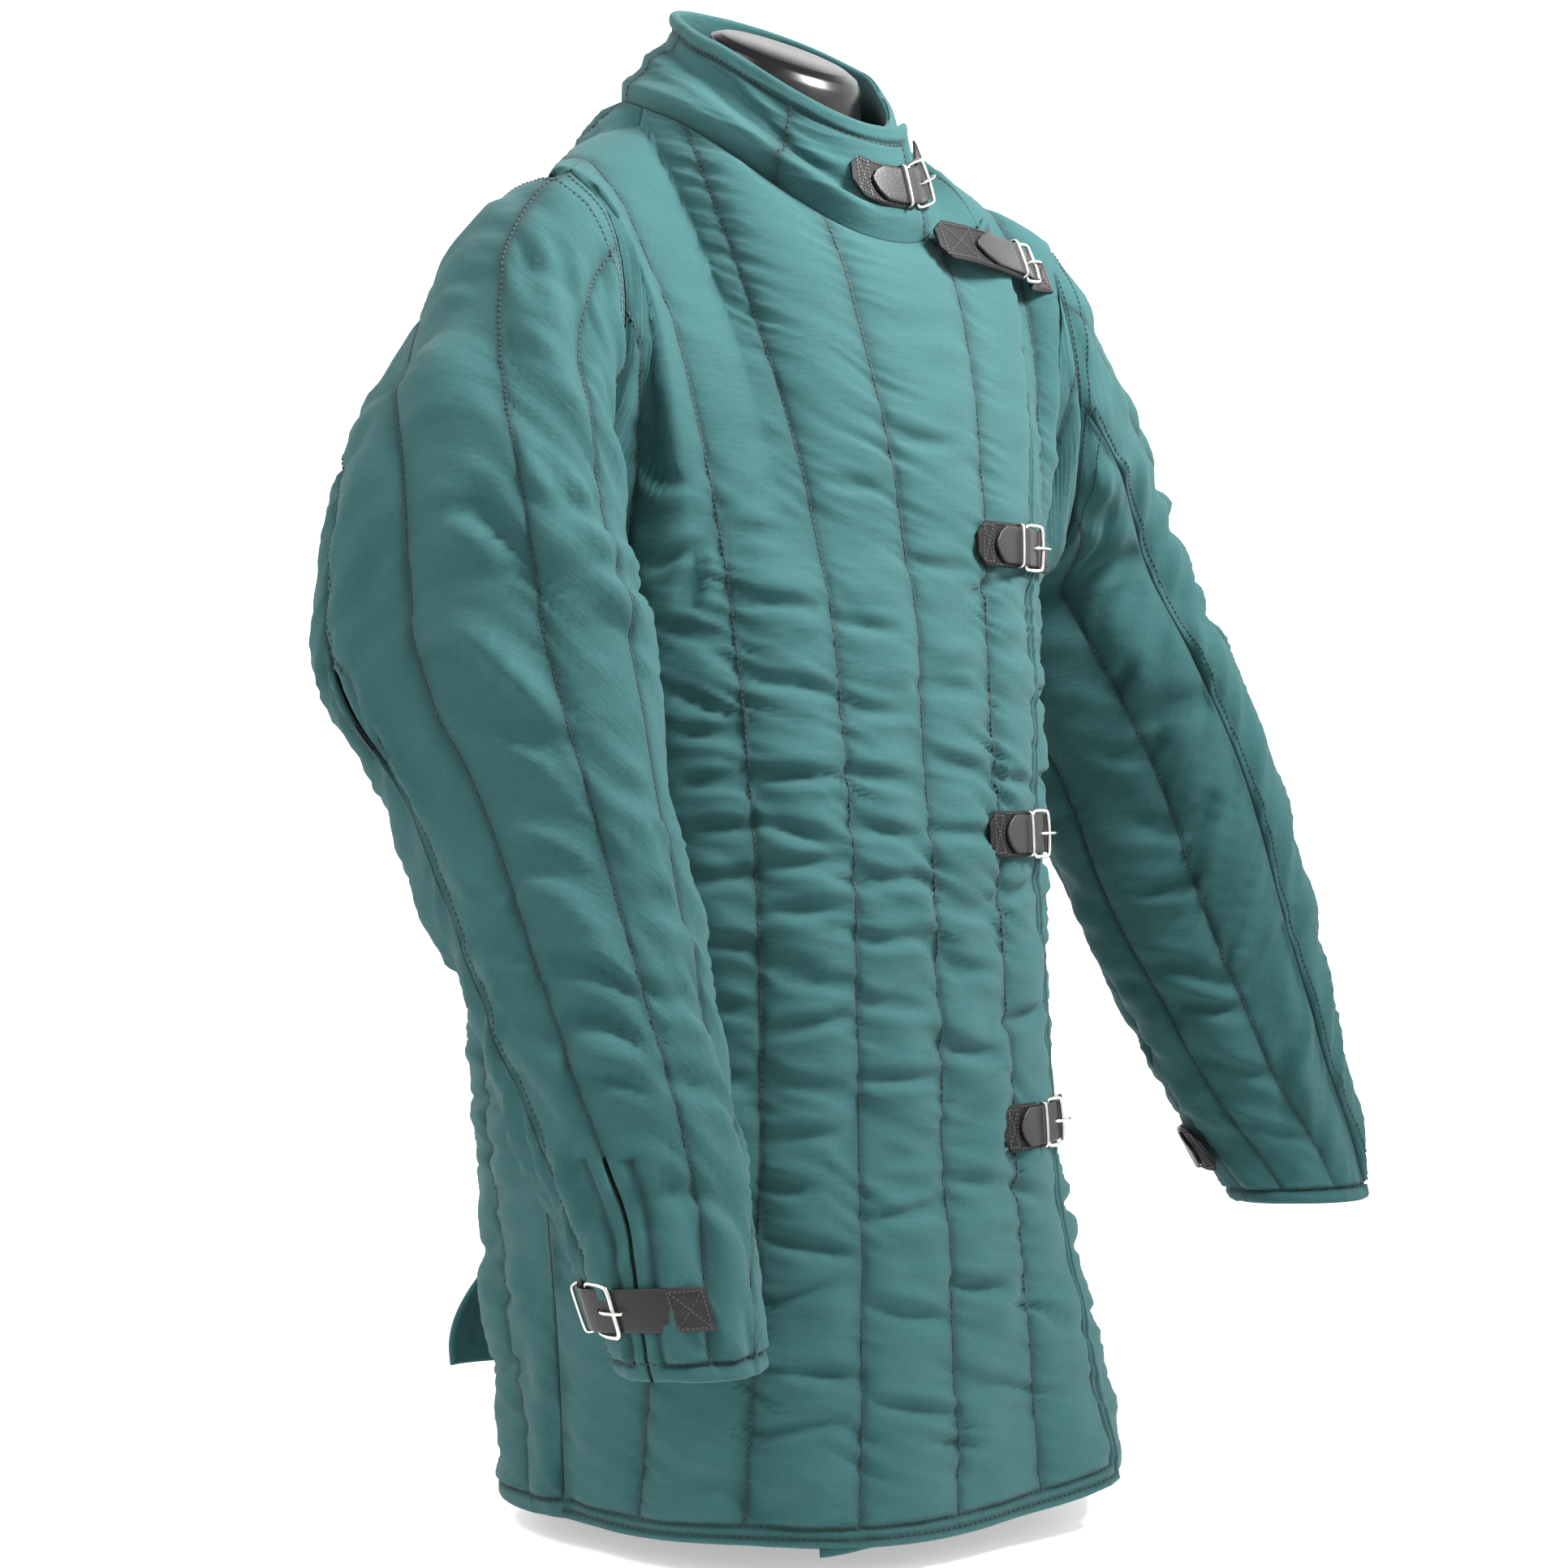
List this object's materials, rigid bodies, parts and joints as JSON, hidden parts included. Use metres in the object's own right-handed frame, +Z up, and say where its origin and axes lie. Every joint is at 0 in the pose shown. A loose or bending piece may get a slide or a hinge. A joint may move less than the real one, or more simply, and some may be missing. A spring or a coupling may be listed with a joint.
{
  "type": "gambeson on a limbless torso form",
  "caption": "Padded quilted arming jacket with an overlapping front closed by leather straps, standing collar and long sleeves, on a limbless torso form and stand.",
  "frame": {"origin": "middle of the underside of the stand's round base plate", "axes": "+Z up; the front of the jacket faces -Y; the wearer's right side is at -X"},
  "size_m": [0.7986, 0.4822, 0.9896],
  "materials": {
    "quilted_cotton": "plain weave cotton, matt",
    "black_leather": "semi-matt",
    "nickel_plate": "plated, polished",
    "gloss_plastic": "gloss",
    "coated_steel": "powder coat, satin"
  },
  "bodies": {
    "root": {"back_left": "quilted_cotton", "back_right": "quilted_cotton", "chest_buckle": "nickel_plate", "chest_keeper": "nickel_plate", "chest_prong": "nickel_plate", "chest_strap": "black_leather", "chest_tab": "black_leather", "collar": "quilted_cotton", "collar_closure_buckle": "nickel_plate", "collar_closure_keeper": "nickel_plate", "collar_closure_prong": "nickel_plate", "collar_closure_strap": "black_leather", "collar_closure_tab": "black_leather", "cuff_left_buckle": "nickel_plate", "cuff_left_keeper": "nickel_plate", "cuff_left_prong": "nickel_plate", "cuff_left_strap": "black_leather", "cuff_left_tab": "black_leather", "cuff_right_buckle": "nickel_plate", "cuff_right_keeper": "nickel_plate", "cuff_right_prong": "nickel_plate", "cuff_right_strap": "black_leather", "cuff_right_tab": "black_leather", "form_base": "coated_steel", "form_pole": "coated_steel", "form_torso": "gloss_plastic", "front_overlap": "quilted_cotton", "front_under": "quilted_cotton", "hip_buckle": "nickel_plate", "hip_keeper": "nickel_plate", "hip_prong": "nickel_plate", "hip_strap": "black_leather", "hip_tab": "black_leather", "shoulder_buckle": "nickel_plate", "shoulder_keeper": "nickel_plate", "shoulder_prong": "nickel_plate", "shoulder_strap": "black_leather", "shoulder_tab": "black_leather", "sleeve_left_outer": "quilted_cotton", "sleeve_left_under": "quilted_cotton", "sleeve_right_outer": "quilted_cotton", "sleeve_right_under": "quilted_cotton", "waist_buckle": "nickel_plate", "waist_keeper": "nickel_plate", "waist_prong": "nickel_plate", "waist_strap": "black_leather", "waist_tab": "black_leather"}
  },
  "joints": []
}
